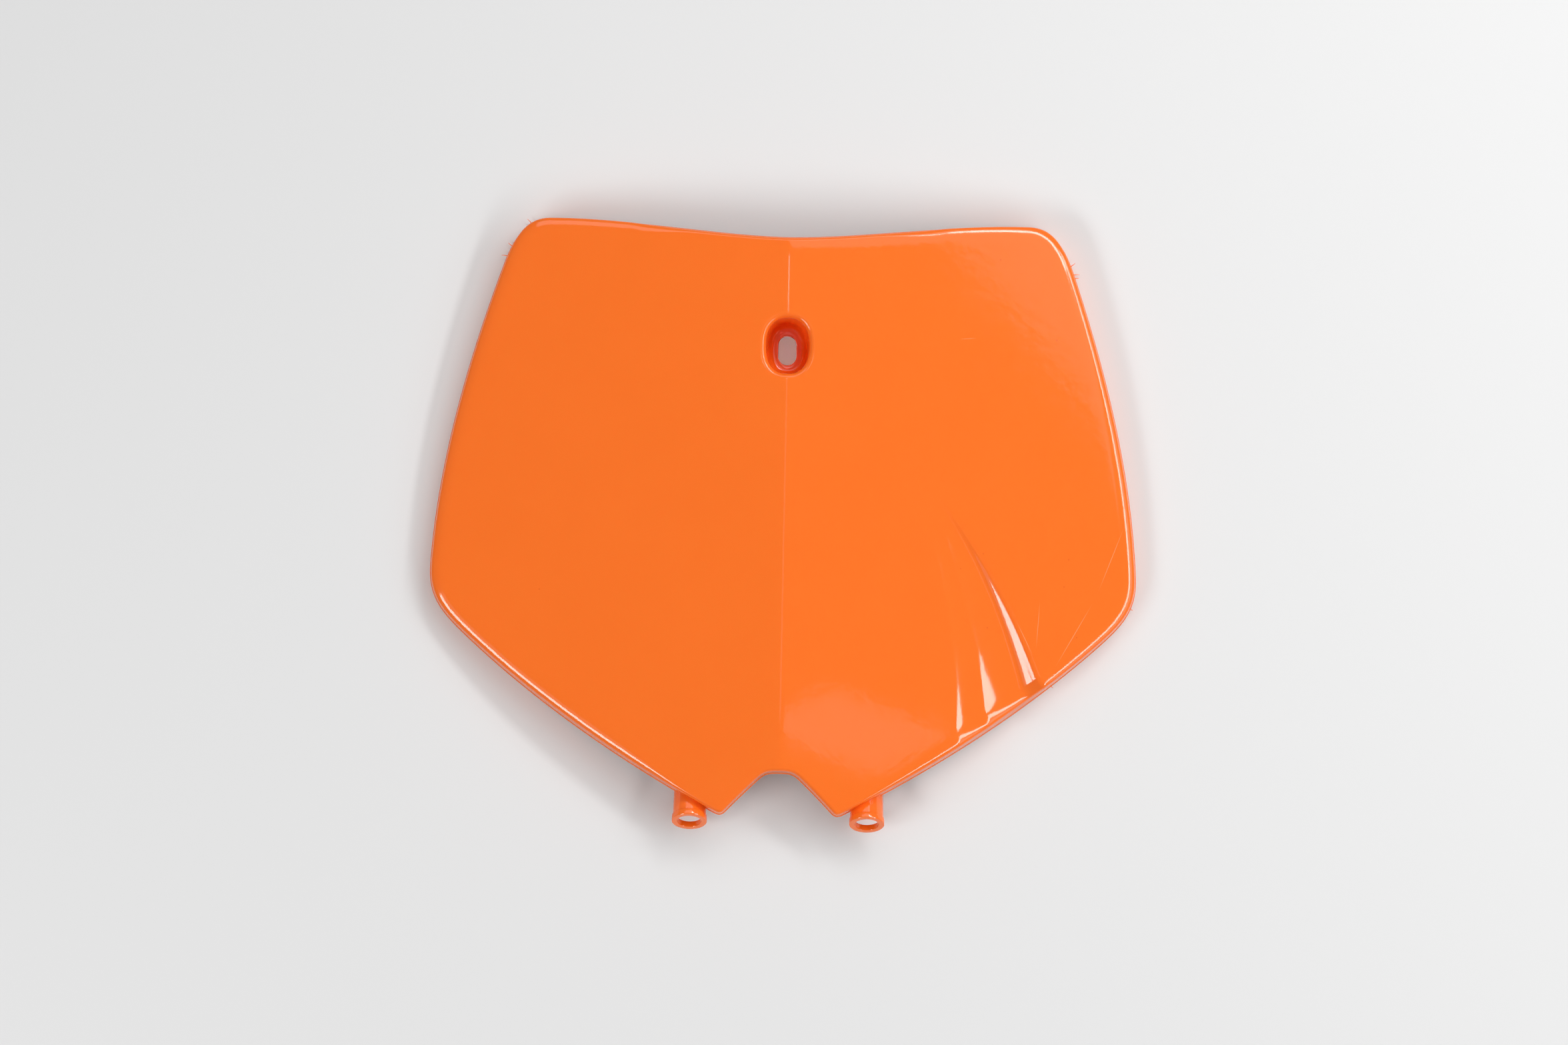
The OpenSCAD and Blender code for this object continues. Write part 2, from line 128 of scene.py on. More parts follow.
# Hose channel: its head, the places of its three folds along the lower edge as shares of
# that edge, the depths of its flutes and how they fade, and each fold's place at the head
# and its bow
CHANNEL_H = 114.0
CHANNEL_X = 48.0
CHANNEL_NEAR = 0.45
CHANNEL_RIDGE = 0.57
CHANNEL_FAR = 0.79
RIDGE_DEPTH = 1.7
FLOOR_DEPTH = 4.0
FADE_POWER = 1.4
HEAD_OFFSET = [-4, 0, 3]
BOW = [(9, 4), (6, 5), (4, 5)]

# The far flute in this scene: where its floor ends and its wall begins, as shares of its
# width, at the foot and at the head, the bend of that wall and the softness of the folds
FLOOR_SHARE_FOOT = 0.71
FLOOR_SHARE_HEAD = 0.80
FAR_WALL_POWER = 1.25
FOLD_SOFT = 0.6
FOLD_SAMPLES = 9


def sind(a):
    return np.sin(np.radians(a))


def cosd(a):
    return np.cos(np.radians(a))


def tand(a):
    return np.tan(np.radians(a))


def mix(a, b, t):
    return a + (b - a) * t


def bend(a, b, c, t):
    """The place t on the curve that leaves a towards b and comes to c from b."""
    return (1 - t) ** 2 * a + 2 * (1 - t) * t * b + t * t * c


def ease(t):
    c = np.clip(t, 0, 1)
    return c * c * (3 - 2 * c)


def steps(a, b, n):
    return [mix(a, b, i / n) for i in range(1, n + 1)]


HALF_W = BOARD_W / 2
PEAK_X = PEAK_W / 2
PEG_X = SOCKET_SPAN / 2
RING_R = BORE_R + RING_WALL
HOOD_BORE_R = BORE_R + HOOD_RELIEF
HOOD_R = HOOD_BORE_R + HOOD_WALL
LOW_Y = -SOCKET_DROP - RING_R * sind(SOCKET_LEAN)
SHIFT_Y = -(BOARD_H + LOW_Y) / 2


def place(points):
    """Points in the source's frame, in millimetres, as points in the shared frame."""
    return (np.asarray(points, float) + [0, SHIFT_Y, 0]) * MM


# The right half of the outline, from the head of the notch round to the middle of the top:
# x, y, heading, and the handles before and after the point as shares of the chord.
LEG_X = LEG_SPAN / 2 - LEG_LOW_SHARE * LEG_TIP_W
KNOTS = np.array([
    (0, NOTCH_H, 0, 0, 0.48),
    (NOTCH_HEAD_W / 2, NOTCH_H - NOTCH_DROP, -43, 0.41, 0.28),
    (LEG_X, LEG_Y, -47, 0.28, 0.49),
    (LEG_X + LEG_TIP_W, LEG_Y, 27, 0.49, 0.33),
    (HALF_W - WING_CORNER_W, WING_H - WING_CORNER_H, 42, 0.33, 0.46),
    (HALF_W, WING_H, 93, 0.39, 0.33),
    (TOP_W / 2, BOARD_H - TOP_CORNER_H, 109, 0.33, 0.46),
    (PEAK_X, BOARD_H, 180, 0.38, 0.33),
    (0, BOARD_H - TOP_DIP, 180, 0.3, 0),
])
NOTCH_SIDE = 1
LOWER_EDGE = 3
WING_CORNER = 4
WING_TIP = 5
TOP_CORNER = 6
TOP_MIDDLE = len(KNOTS) - 1


def outline_and_normal(s):
    """Points of the outline at the places s, and the normals that point out of the board."""
    s = np.atleast_1d(np.asarray(s, float))
    k = np.clip(np.floor(s).astype(int), 0, TOP_MIDDLE - 1)
    t = (s - k)[:, None]
    a, b = KNOTS[k], KNOTS[k + 1]
    start, end = a[:, :2], b[:, :2]
    chord = np.linalg.norm(end - start, axis=1)[:, None]
    q = start + a[:, 4:5] * chord * np.stack([cosd(a[:, 2]), sind(a[:, 2])], 1)
    r = end - b[:, 3:4] * chord * np.stack([cosd(b[:, 2]), sind(b[:, 2])], 1)
    u = 1 - t
    point = u**3 * start + 3 * u * u * t * q + 3 * u * t * t * r + t**3 * end
    along = u * u * (q - start) + 2 * u * t * (r - q) + t * t * (end - r)
    normal = np.stack([along[:, 1], -along[:, 0]], 1)
    return point, normal / np.linalg.norm(normal, axis=1)[:, None]


def top_edge_y(x):
    return BOARD_H - TOP_DIP * (1 - np.minimum(1, np.abs(x) / PEAK_X))


def face_z(x, y):
    """Height of the face without the channel, with a small radius along the crease."""
    mid_y = BOARD_H / 2
    across = np.sqrt(x * x + CREASE_R * CREASE_R)
    foot = np.clip(1 - y / FOOT_ZONE, 0, 1)
    band = np.maximum(1 - (x / TOP_END_X) ** 2, 0.01)
    top = np.clip(1 - (top_edge_y(x) - y) / (TOP_ZONE * band), 0, 1)
    return (CREST_H - (WING_FALL - WING_BOW) * across / HALF_W - WING_BOW * (x / HALF_W) ** 2
            - LONG_BOW * ((y - mid_y) / mid_y) ** 2 - FOOT_TURN * foot**2
            - TOP_TURN * band * top**TOP_POWER)


def rim_z(x):
    return RIM_ARCH * (1 + cosd(180 * np.minimum(1, np.abs(x) / REST_X))) / 2


def roll_at(x):
    """Width and height of the rolled edge."""
    t = ease((np.abs(x) - ROLL_START_X) / (ROLL_FULL_X - ROLL_START_X))
    return mix(FOOT_ROLL_R, ROLL_W, t), mix(FOOT_ROLL_R, ROLL_H, t)


def edge_depth(point):
    """How far in from the outline the face begins."""
    x, y = point[:, 0], point[:, 1]
    width, height = roll_at(x)
    return width + (face_z(x, y) - rim_z(x) - height) * tand(DRAFT)


def inset(s):
    point, normal = outline_and_normal(s)
    return point - edge_depth(point)[:, None] * normal


# Columns run from the lower edge to the top edge, rows from side to side. Whole numbers
# are the columns and rows of the source, and the mesh has finer ones between them.
NOTCH_STEPS, LEG_STEPS, PLAIN_STEPS = 2, 6, 3
NEAR_STEPS, FAR_STEPS, CORNER_STEPS = 4, 6, 4
NEAR_COL = NOTCH_STEPS + LEG_STEPS + PLAIN_STEPS
RIDGE_COL = NEAR_COL + NEAR_STEPS
FAR_COL = RIDGE_COL + FAR_STEPS
COLS = FAR_COL + CORNER_STEPS
HEAD_ROW, CUP_ROW0, CUP_ROW1, ROWS, LOW_ROW = 12, 16, 22, 25, 2
CUP_COLS = 3

NEAR_S = LOWER_EDGE + CHANNEL_NEAR
RIDGE_S = LOWER_EDGE + CHANNEL_RIDGE
FAR_S = LOWER_EDGE + CHANNEL_FAR
LOWER_CORNER_S = (WING_CORNER + WING_TIP) / 2
UPPER_CORNER_S = TOP_CORNER + 0.5
NEAR_HEAD_S = TOP_MIDDLE - 0.5
FAR_HEAD_S = TOP_MIDDLE - 0.72
COLUMN_FOOT = ([0] + steps(0, NOTCH_SIDE, NOTCH_STEPS) + steps(NOTCH_SIDE, LOWER_EDGE, LEG_STEPS)
               + steps(LOWER_EDGE, NEAR_S, PLAIN_STEPS) + steps(NEAR_S, RIDGE_S, NEAR_STEPS)
               + steps(RIDGE_S, FAR_S, FAR_STEPS) + steps(FAR_S, LOWER_CORNER_S, CORNER_STEPS))
COLUMN_HEAD = ([TOP_MIDDLE] + steps(TOP_MIDDLE, NEAR_HEAD_S, NEAR_COL)
               + steps(NEAR_HEAD_S, FAR_HEAD_S, FAR_COL - NEAR_COL)
               + steps(FAR_HEAD_S, UPPER_CORNER_S, CORNER_STEPS))
FOOT_Y = inset(0)[0, 1]
HEAD_Y = inset(TOP_MIDDLE)[0, 1]


def share_up(y):
    return (y - FOOT_Y) / (HEAD_Y - FOOT_Y)


CUP_ZONE = CUP_LEN / 2 + CUP_LIP_R + CUP_MARGIN
HEAD_V = share_up(CHANNEL_H)
CUP_V0 = share_up(CUP_H - CUP_ZONE)
CUP_V1 = share_up(CUP_H + CUP_ZONE)
ROW_V = ([0] + steps(0, HEAD_V, HEAD_ROW) + steps(HEAD_V, CUP_V0, CUP_ROW0 - HEAD_ROW)
         + steps(CUP_V0, CUP_V1, CUP_ROW1 - CUP_ROW0) + steps(CUP_V1, 1, ROWS - CUP_ROW1))
ROW_END = ([LOWER_CORNER_S] + steps(LOWER_CORNER_S, WING_TIP, LOW_ROW)
           + steps(WING_TIP, TOP_CORNER, CUP_ROW1 - LOW_ROW)
           + steps(TOP_CORNER, UPPER_CORNER_S, ROWS - CUP_ROW1))

# Steps of the finer mesh in each column or row, and the places of extra columns by a fold
FINE = 4
CLOSE = [0.08, 0.16, 0.34]


def fine_columns():
    """Columns in fine steps, and closer ones beside the crease and the channel's outer folds."""
    near_folds = [c for d in CLOSE for c in (d, NEAR_COL - d, FAR_COL + d)]
    return np.array(sorted(set(np.arange(COLS * FINE + 1) / FINE) | set(near_folds)))


COL = fine_columns()
ROW = np.arange(ROWS * FINE + 1) / FINE
LAST_COL, LAST_ROW = len(COL) - 1, len(ROW) - 1
COL_FOOT_S = np.interp(COL, range(COLS + 1), COLUMN_FOOT)
COL_HEAD_S = np.interp(COL, range(COLS + 1), COLUMN_HEAD)
ROW_SHARE = np.interp(ROW, range(ROWS + 1), ROW_V)
ROW_END_S = np.interp(ROW, range(ROWS + 1), ROW_END)


def fold_line(k, col):
    """Plan of fold k of the channel, a point for each row."""
    foot = inset(np.interp(col, range(COLS + 1), COLUMN_FOOT))[0]
    top = inset(np.interp(col, range(COLS + 1), COLUMN_HEAD))[0]
    head = np.array([CHANNEL_X + HEAD_OFFSET[k], CHANNEL_H])
    mid = (foot + head) / 2 + BOW[k]
    t = np.clip(ROW_SHARE / HEAD_V, 0, 1)[:, None]
    below = bend(foot, mid, head, t)
    above = mix(head, top, ((ROW_SHARE - HEAD_V) / (1 - HEAD_V))[:, None])
    return np.where(ROW_SHARE[:, None] <= HEAD_V, below, above)


def half_plan():
    """Plan of the right half: Coons patches between the crease, the three folds and the side."""
    crease = np.stack([np.zeros(len(ROW)), mix(FOOT_Y, HEAD_Y, ROW_SHARE)], 1)
    guides = [(0, crease), (NEAR_COL, fold_line(0, NEAR_COL)), (RIDGE_COL, fold_line(1, RIDGE_COL)),
              (FAR_COL, fold_line(2, FAR_COL)), (COLS, inset(ROW_END_S))]
    foot, head = inset(COL_FOOT_S), inset(COL_HEAD_S)
    plan = np.zeros((len(COL), len(ROW), 2))
    v = ROW_SHARE[None, :, None]
    for (c0, left), (c1, right) in zip(guides, guides[1:]):
        inside = (COL >= c0) & (COL <= c1)
        u = ((COL[inside] - c0) / (c1 - c0))[:, None, None]
        corner = [np.flatnonzero(COL == c)[0] for c in (c0, c1)]
        low, high = foot[inside][:, None], head[inside][:, None]
        ends = [mix(foot[k], head[k], v) for k in corner]
        plan[inside] = mix(low, high, v) + mix(left[None], right[None], u) - mix(*ends, u)
    return plan


def channel_depth(plan):
    """Depth of the channel's flutes, with each fold softened over a short way to both sides."""
    near = (COL - NEAR_COL) / NEAR_STEPS
    far = ((COL - RIDGE_COL) / FAR_STEPS)[:, None]
    share = mix(FLOOR_SHARE_FOOT, FLOOR_SHARE_HEAD, np.clip(ROW_SHARE / HEAD_V, 0, 1))[None]
    near_depth = RIDGE_DEPTH * (1 - (1 - near) ** 2)
    ramp = FLOOR_DEPTH - (FLOOR_DEPTH - RIDGE_DEPTH) * (1 - far / share) ** 2
    far_wall = FLOOR_DEPTH * (1 - np.clip((far - share) / (1 - share), 0, 1) ** FAR_WALL_POWER)
    far_depth = np.where(far < share, ramp, far_wall)
    column = COL[:, None]
    depth = np.where(column < RIDGE_COL, near_depth[:, None], far_depth)
    depth = np.where((column < NEAR_COL) | (column > FAR_COL), 0, depth)
    fade = np.clip(1 - ROW_SHARE / HEAD_V, 0, 1) ** FADE_POWER
    way = np.zeros(plan.shape[:2])
    way[1:] = np.cumsum(np.linalg.norm(np.diff(plan, axis=0), axis=2), axis=0)
    soft = np.zeros_like(way)
    offsets = np.linspace(-FOLD_SOFT, FOLD_SOFT, FOLD_SAMPLES)
    for j in range(len(ROW)):
        for off in offsets:
            soft[:, j] += np.interp(way[:, j] + off, way[:, j], depth[:, j]) / len(offsets)
    return soft * fade


class Skin:
    """Points and faces of one mesh, collected loop by loop."""

    def __init__(self):
        self.points, self.faces, self.count = [], [], 0

    def add(self, xyz):
        xyz = np.asarray(xyz, float).reshape(-1, 3)
        self.points.append(xyz)
        self.count += len(xyz)
        return np.arange(self.count - len(xyz), self.count)

    def bands(self, loops):
        for a, b in zip(loops, loops[1:]):
            quads = np.stack([a, b, np.roll(b, -1), np.roll(a, -1)], 1)
            self.faces += quads.tolist()

    def cells(self, ids, keep):
        quads = np.stack([ids[:-1, :-1], ids[1:, :-1], ids[1:, 1:], ids[:-1, 1:]], 2)
        self.faces += quads[keep].tolist()

    def cap(self, loop):
        self.faces.append(list(loop))

    def build(self, name):
        mesh = bpy.data.meshes.new(name)
        mesh.from_pydata(place(np.concatenate(self.points)).tolist(), [], self.faces)
        bm = bmesh.new()
        bm.from_mesh(mesh)
        bmesh.ops.recalc_face_normals(bm, faces=bm.faces)
        bm.to_mesh(mesh)
        bm.free()
        obj = bpy.data.objects.new(name, mesh)
        bpy.context.collection.objects.link(obj)
        return obj


def both_halves(half):
    """A grid of the right half, mirrored to the left: the columns run from left to right."""
    left = half[:0:-1].copy()
    left[..., 0] *= -1
    return np.concatenate([left, half])


def edge_walk():
    """The edge of the face, anticlockwise from the notch: column, row, place on the outline."""
    right = ([(c, 0, COL_FOOT_S[c]) for c in range(LAST_COL + 1)]
             + [(LAST_COL, j, ROW_END_S[j]) for j in range(1, LAST_ROW)]
             + [(c, LAST_ROW, COL_HEAD_S[c]) for c in range(LAST_COL, -1, -1)])
    left = [(-c, j, s) for c, j, s in right[::-1] if c > 0]
    return right + left


PLAN = both_halves(half_plan())
DEPTH = np.zeros(PLAN.shape[:2])
DEPTH[LAST_COL:] = channel_depth(PLAN[LAST_COL:])
FRONT_Z = face_z(PLAN[..., 0], PLAN[..., 1]) - DEPTH
EDGE = edge_walk()
EDGE_C = np.array([e[0] for e in EDGE])
EDGE_J = np.array([e[1] for e in EDGE])


def edge_frame():
    """Outline points and outward normals along the edge, on both sides."""
    point, normal = outline_and_normal([e[2] for e in EDGE])
    side = np.where(EDGE_C < 0, -1, 1)
    point[:, 0] *= side
    normal[:, 0] *= side
    return point, normal


def edge_rings(down):
    """Rings of the edge from the face round the roll and the rim to the inner side."""
    outline, normal = edge_frame()
    start = PLAN[LAST_COL + EDGE_C, EDGE_J]
    z = FRONT_Z[LAST_COL + EDGE_C, EDGE_J]
    rim = rim_z(outline[:, 0])
    width, height = roll_at(outline[:, 0])
    ahead = start + normal
    slope = np.degrees(np.arctan(face_z(*start.T) - face_z(*ahead.T)))

    def ring(base, out, height):
        return np.column_stack([base + normal * np.reshape(out, (-1, 1)), height])

    rings = []
    last = np.degrees(np.arctan(width / height * tand(90 - DRAFT - slope)))
    for t in steps(0, 1, ROLL_RINGS):
        out = width * sind(t * last)
        down_by = height * (1 - cosd(t * last))
        rings.append(ring(start, out * cosd(slope) - down_by * sind(slope),
                          z - out * sind(slope) - down_by * cosd(slope)))
    low, part = RIM_R, RIM_R * (1 - sind(45))
    flat = np.zeros(len(EDGE))
    above = PARTING_H + PARTING_BEVEL
    step = PARTING_STEP
    section = [(-above * tand(DRAFT), above), (step - PARTING_H * tand(DRAFT), PARTING_H),
               (step, low), (step - part, part), (step - low, 0),
               (low - WALL, 0), (part - WALL, part), (-WALL, low)]
    for out, up in section:
        rings.append(ring(outline, flat + out, rim + up))
    rise = FLANGE_SHARE * (z - down - rim) - INNER_CHAMFER
    depth = np.minimum(WALL + rise * tand(DRAFT), np.linalg.norm(outline - start, axis=1))
    foot = ring(outline, -depth, rim + rise)
    rings.append(foot)
    head = np.column_stack([start, z - down])
    corner = np.column_stack([foot[:, :2], z - down])
    for t in (0.25, 0.5, 0.75):
        rings.append(bend(foot, corner, head, t))
    return rings


def cup_walk():
    """The edge of the hole for the cup, anticlockwise: column and row in the whole grid."""
    c1 = int(np.flatnonzero(COL == CUP_COLS)[0])
    j0, j1 = CUP_ROW0 * FINE, CUP_ROW1 * FINE
    walk = ([(c, j0) for c in range(-c1, c1 + 1)] + [(c1, j) for j in range(j0 + 1, j1)]
            + [(c, j1) for c in range(c1, -c1 - 1, -1)] + [(-c1, j) for j in range(j1 - 1, j0, -1)])
    return np.array(walk), c1, j0, j1


CUP_WALK, CUP_C, CUP_J0, CUP_J1 = cup_walk()
CUP_HOLE = PLAN[LAST_COL + CUP_WALK[:, 0], CUP_WALK[:, 1]]
CUP_ANGLE = np.arctan2((CUP_HOLE[:, 1] - CUP_H) / CUP_LEN, CUP_HOLE[:, 0] / CUP_W)
CUP_FLOOR_Z = CREST_H - CUP_DEPTH
CUP_TAPER = (CUP_DEPTH - CUP_LIP_R - CUP_FLOOR_R) * tand(CUP_DRAFT)


def cup_oval(out):
    def fuller(v):
        return np.sign(v) * np.abs(v) ** CUP_POWER
    return np.column_stack([(CUP_W / 2 + out) * fuller(np.cos(CUP_ANGLE)),
                            CUP_H + (CUP_LEN / 2 + out) * fuller(np.sin(CUP_ANGLE))])


def slot_outline(out):
    """The slot's outline, met by rays from its centre in the directions of the cup's points."""
    aim = cup_oval(0) - [0, CUP_H]
    aim /= np.linalg.norm(aim, axis=1)[:, None]
    r, h = SLOT_W / 2 + out, (SLOT_LEN - SLOT_W) / 2
    ax, ay = np.maximum(np.abs(aim[:, 0]), 1e-9), np.abs(aim[:, 1])
    reach = np.where(ay * r / ax <= h, r / ax, ay * h + np.sqrt(np.maximum(r * r - (ax * h) ** 2, 0)))
    return aim * reach[:, None] + [0, CUP_H]


def at_height(xy, z):
    return np.column_stack([xy, np.broadcast_to(z, len(xy))])


def cup_rings():
    """Rings from the hole in the face down into the cup, through the slot and up its outside."""
    rings = []
    for t in (0.25, 0.5, 0.75, 1):
        xy = mix(CUP_HOLE, cup_oval(CUP_LIP_R), t)
        rings.append(at_height(xy, face_z(*xy.T)))
    lip = face_z(*cup_oval(CUP_LIP_R).T)
    for a in np.linspace(0, 90, 9)[1:]:
        rings.append(at_height(cup_oval(CUP_LIP_R * (1 - sind(a))), lip - CUP_LIP_R * (1 - cosd(a))))
    top = lip - CUP_LIP_R
    bottom = CUP_FLOOR_Z + CUP_FLOOR_R
    for t in steps(0, 1, 5):
        rings.append(at_height(cup_oval(-CUP_TAPER * t), mix(top, bottom, t)))
    for a in np.linspace(0, 90, 8)[1:]:
        rings.append(at_height(cup_oval(-CUP_TAPER - CUP_FLOOR_R * (1 - cosd(a))),
                               CUP_FLOOR_Z + CUP_FLOOR_R * (1 - sind(a))))
    floor = cup_oval(-CUP_TAPER - CUP_FLOOR_R)
    under = CUP_FLOOR_Z - WALL
    rings.append(at_height(mix(floor, slot_outline(SLOT_EDGE_R), 0.5), CUP_FLOOR_Z))
    for a in (0, 45, 90):
        rings.append(at_height(slot_outline(SLOT_EDGE_R * (1 - sind(a))),
                               CUP_FLOOR_Z - SLOT_EDGE_R * (1 - cosd(a))))
    rings.append(at_height(slot_outline(0), under))
    foot_out = WALL - CUP_TAPER
    rings.append(at_height(mix(slot_outline(0), cup_oval(foot_out - CUP_FLOOR_R / 2), 0.5), under))
    for a in (90, 60, 30, 0):
        rings.append(at_height(cup_oval(foot_out - CUP_FLOOR_R / 2 * (1 - cosd(a))),
                               under + CUP_FLOOR_R / 2 * (1 - sind(a))))
    shoulder = cup_oval(WALL)
    for t in (0.5, 1):
        xy = mix(cup_oval(foot_out), shoulder, t)
        rings.append(at_height(xy, mix(under + CUP_FLOOR_R / 2, face_z(*shoulder.T) - WALL, t)))
    return rings


def shell():
    """The moulded shell: face, rolled edge, flange, back and cup."""
    skin = Skin()
    shape = PLAN.shape[:2]
    front = skin.add(np.dstack([PLAN, FRONT_Z])).reshape(shape)
    back = skin.add(np.dstack([PLAN, FRONT_Z - WALL])).reshape(shape)
    keep = np.ones((shape[0] - 1, shape[1] - 1), bool)
    keep[LAST_COL - CUP_C:LAST_COL + CUP_C, CUP_J0:CUP_J1] = False
    skin.cells(front, keep)
    skin.cells(back, keep)
    rings = [skin.add(ring) for ring in edge_rings(WALL)]
    skin.bands([front[LAST_COL + EDGE_C, EDGE_J]] + rings + [back[LAST_COL + EDGE_C, EDGE_J]])
    hole = (LAST_COL + CUP_WALK[:, 0], CUP_WALK[:, 1])
    skin.bands([front[hole]] + [skin.add(ring) for ring in cup_rings()] + [back[hole]])
    return skin.build("shell")


def revolved(name, profile, a0, a1, n, frame_matrix):
    """A closed profile of (radius, height) turned from a0 to a1 degrees about a socket's axis."""
    whole = a1 - a0 >= 360
    angles = np.linspace(a0, a1, n, endpoint=not whole)
    skin = Skin()
    loops = []
    for a in angles:
        ring = [frame_matrix @ Vector((r * cosd(a), r * sind(a), z)) for r, z in profile]
        loops.append(skin.add(ring))
    skin.bands(loops + loops[:1] if whole else loops)
    if not whole:
        skin.cap(loops[0])
        skin.cap(loops[-1])
    return skin.build(name)


def rounded(corners, radius, n=3):
    """Corners of a closed profile, each replaced by a short arc."""
    points = []
    for k, corner in enumerate(corners):
        p, a, b = (np.array(q, float) for q in (corner, corners[k - 1], corners[(k + 1) % len(corners)]))
        start = p + radius * (a - p) / np.linalg.norm(a - p)
        end = p + radius * (b - p) / np.linalg.norm(b - p)
        for t in np.linspace(0, 1, n + 1):
            points.append(bend(start, p, end, t))
    return points


def socket_frame(side):
    """The socket's frame: the axis runs up from the mouth, and +Y is its open rear side."""
    return (Matrix.Translation((side * PEG_X, -SOCKET_DROP, SOCKET_Z))
            @ Matrix.Rotation(math.radians(-90 - SOCKET_LEAN), 4, "X"))


def socket_parts(side):
    """The ring, the half barrel and the web of one socket, as closed pieces to be joined."""
    own = socket_frame(side)
    overlap = 0.6
    low = RING_LEN - overlap
    ring_section = [(BORE_R, 0), (RING_R, 0), (RING_R, RING_LEN), (BORE_R, RING_LEN)]
    hood_section = [(HOOD_BORE_R, low), (HOOD_R, low), (HOOD_R, HOOD_LEN), (HOOD_BORE_R, HOOD_LEN)]
    ring = revolved("ring", rounded(ring_section, RING_EDGE_R), 0, 360, 96, own)
    hood = revolved("hood", rounded(hood_section, HOOD_EDGE_R, 2), 180, 360, 49, own)
    slope = tand(SOCKET_LEAN)
    barrel_z = SOCKET_Z + (HOOD_BORE_R + HOOD_WALL / 2) / cosd(SOCKET_LEAN)
    y0 = inset(LOWER_EDGE + 0.1)[0, 1]
    y1 = (HOOD_LEN - WEB_BACK) * cosd(SOCKET_LEAN) - SOCKET_DROP
    section = [(y0, barrel_z - (y0 + SOCKET_DROP) * slope), (y1, barrel_z - (y1 + SOCKET_DROP) * slope),
               (y1, face_z(PEG_X, y1) - WALL / 2), (y0, face_z(PEG_X, y0) - WALL / 2)]
    web = Skin()
    loops = [web.add([(side * PEG_X + x, y, z) for y, z in section]) for x in (-WEB_T / 2, WEB_T / 2)]
    web.bands(loops)
    for loop in loops:
        web.cap(loop)
    return [ring, hood, web.build("web")]


def socket_bore(side):
    """The space of a bore, through the ring and with the relief behind it."""
    over = 1.0
    axis_r = 0.001
    ring_r, hood_r = BORE_R - BORE_PLAY, HOOD_BORE_R - BORE_PLAY
    profile = [(axis_r, -over), (ring_r, -over), (ring_r, RING_LEN), (hood_r, RING_LEN),
               (hood_r, HOOD_LEN + over), (axis_r, HOOD_LEN + over)]
    return revolved("bore", profile, 0, 360, 96, socket_frame(side))


# Hairs of flash along the parting line: x and y beside the edge, length and curl
WHISKER_ROOT_R = 0.2
WHISKER_TIP_R = 0.07
WHISKER_LIFT = 0.7
WHISKERS = [
    (-91.0, 205.7, 2.0, 0.5),
    (-96.4, 197.3, 1.7, -0.4),
    (-98.7, 194.2, 1.9, 0.6),
    (101.0, 195.4, 1.8, 0.5),
    (102.8, 192.6, 2.0, -0.6),
    (102.1, 190.9, 1.4, -0.3),
    (122.5, 73.8, 0.9, 0.2),
    (94.8, 46.5, 0.8, 0.2),
]


def whisker(x, y, length, curl):
    """A thin curved hair of flash that stands out from the parting line."""
    places = np.linspace(0, TOP_MIDDLE, 4001)
    point, normal = outline_and_normal(places)
    k = np.argmin(np.linalg.norm(point - [abs(x), y], axis=1))
    side = 1 if x > 0 else -1
    foot, out = point[k] * [side, 1], normal[k] * [side, 1]
    along = np.array([-out[1], out[0]])
    z = rim_z(foot[0]) + PARTING_H - WHISKER_ROOT_R
    bury = 0.5
    skin = Skin()
    loops = []
    for t in np.linspace(0, 1, 7):
        centre = foot + out * (mix(-bury, length, t)) + along * curl * t * t
        height = z + WHISKER_LIFT * curl * t * t
        r = mix(WHISKER_ROOT_R, WHISKER_TIP_R, t)
        ring = [(*(centre + along * r * cosd(a)), height + r * sind(a)) for a in range(0, 360, 60)]
        loops.append(skin.add(ring))
    skin.bands(loops)
    skin.cap(loops[0])
    skin.cap(loops[-1])
    return skin.build("whisker")


def combine(target, operand, operation):
    """Joins or cuts two closed meshes, and deletes the second."""
    modifier = target.modifiers.new("combine", "BOOLEAN")
    modifier.operation = operation
    modifier.solver = "MANIFOLD"
    modifier.object = operand
    graph = bpy.context.evaluated_depsgraph_get()
    mesh = bpy.data.meshes.new_from_object(target.evaluated_get(graph))
    target.modifiers.clear()
    old, target.data = target.data, mesh
    bpy.data.meshes.remove(old)
    bpy.data.objects.remove(operand, do_unlink=True)


# Faces that meet at more than this, in degrees, keep a sharp edge between them
SHARP_ANGLE = 32


def number_board(material):
    """The whole moulding as one mesh."""
    board = shell()
    for side in (-1, 1):
        for part in socket_parts(side):
            combine(board, part, "UNION")
    for side in (-1, 1):
        combine(board, socket_bore(side), "DIFFERENCE")
    for place_and_size in WHISKERS:
        combine(board, whisker(*place_and_size), "UNION")
    board.name = board.data.name = "board"
    mesh = board.data
    mesh.materials.clear()
    mesh.materials.append(material)
    mesh.polygons.foreach_set("use_smooth", [True] * len(mesh.polygons))
    mesh.set_sharp_from_angle(angle=math.radians(SHARP_ANGLE))
    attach(board, "root")
    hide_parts("number_board")
    return board


def new_material(name):
    material = bpy.data.materials.new(name)
    material.use_nodes = True
    nodes = material.node_tree.nodes
    nodes.clear()
    return material, nodes, material.node_tree.links


def noise_node(nodes, links, source, scale, detail, rough=0.5):
    node = nodes.new("ShaderNodeTexNoise")
    node.inputs["Scale"].default_value = scale
    node.inputs["Detail"].default_value = detail
    node.inputs["Roughness"].default_value = rough
    links.new(source, node.inputs["Vector"])
    return node.outputs["Fac"]


def ramp_node(nodes, links, source, low, high, to_min, to_max):
    node = nodes.new("ShaderNodeMapRange")
    node.inputs["From Min"].default_value = low
    node.inputs["From Max"].default_value = high
    node.inputs["To Min"].default_value = to_min
    node.inputs["To Max"].default_value = to_max
    links.new(source, node.inputs["Value"])
    return node.outputs["Result"]


